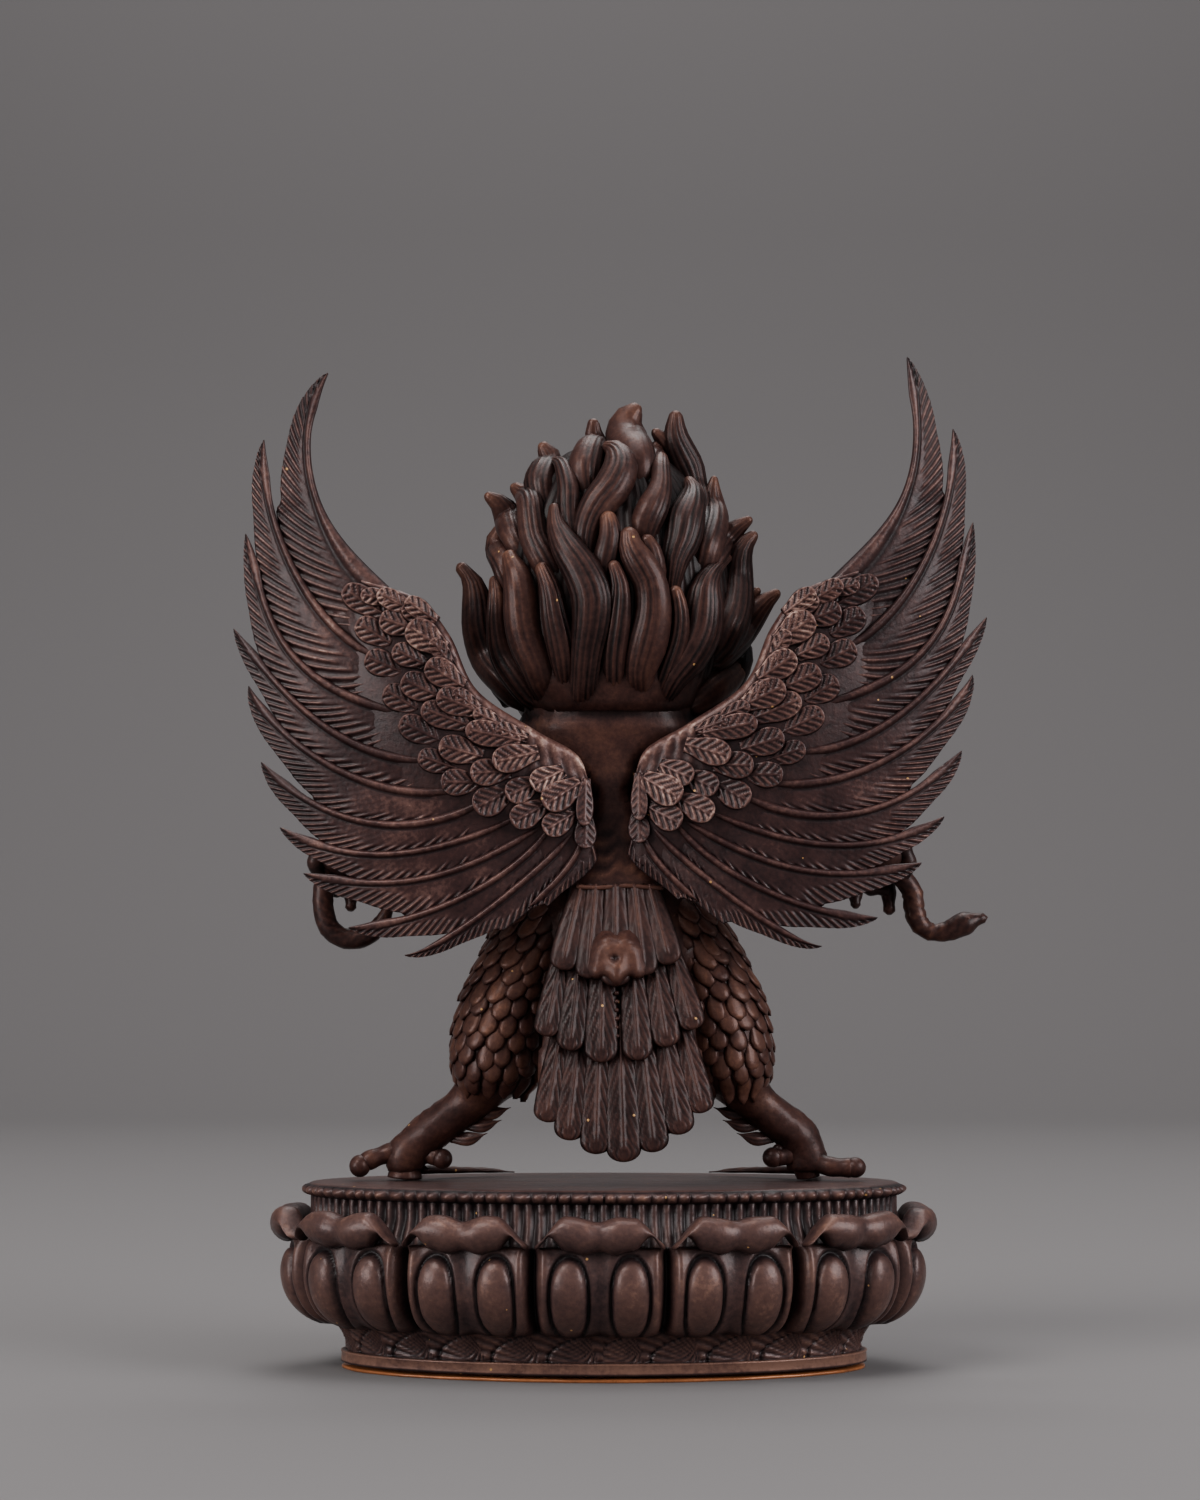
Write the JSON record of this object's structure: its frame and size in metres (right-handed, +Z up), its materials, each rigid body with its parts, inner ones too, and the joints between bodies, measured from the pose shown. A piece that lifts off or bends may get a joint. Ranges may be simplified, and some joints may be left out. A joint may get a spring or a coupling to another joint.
{
  "type": "garuda figure",
  "caption": "Winged garuda figure standing with bent legs on an oval lotus pedestal, arms out with a snake, cast in copper with a dark patina.",
  "frame": {"origin": "middle of the underside of the base plate", "axes": "+Z up; the figure faces +Y; +X is the figure's right"},
  "size_m": [0.0814, 0.0454, 0.1075],
  "materials": {
    "sheet_copper": "thin bright copper sheet",
    "base_copper": "satin dark brown patina on cast copper",
    "dark_copper": "satin dark brown patina on cast copper, redder on worn edges",
    "wing_copper": "satin dark brown patina on cast copper, redder on worn edges"
  },
  "bodies": {
    "root": {"base_plate": "sheet_copper", "lotus_base": "base_copper", "garuda_figure": "dark_copper", "left_wing": "wing_copper", "right_wing": "wing_copper"}
  },
  "joints": []
}
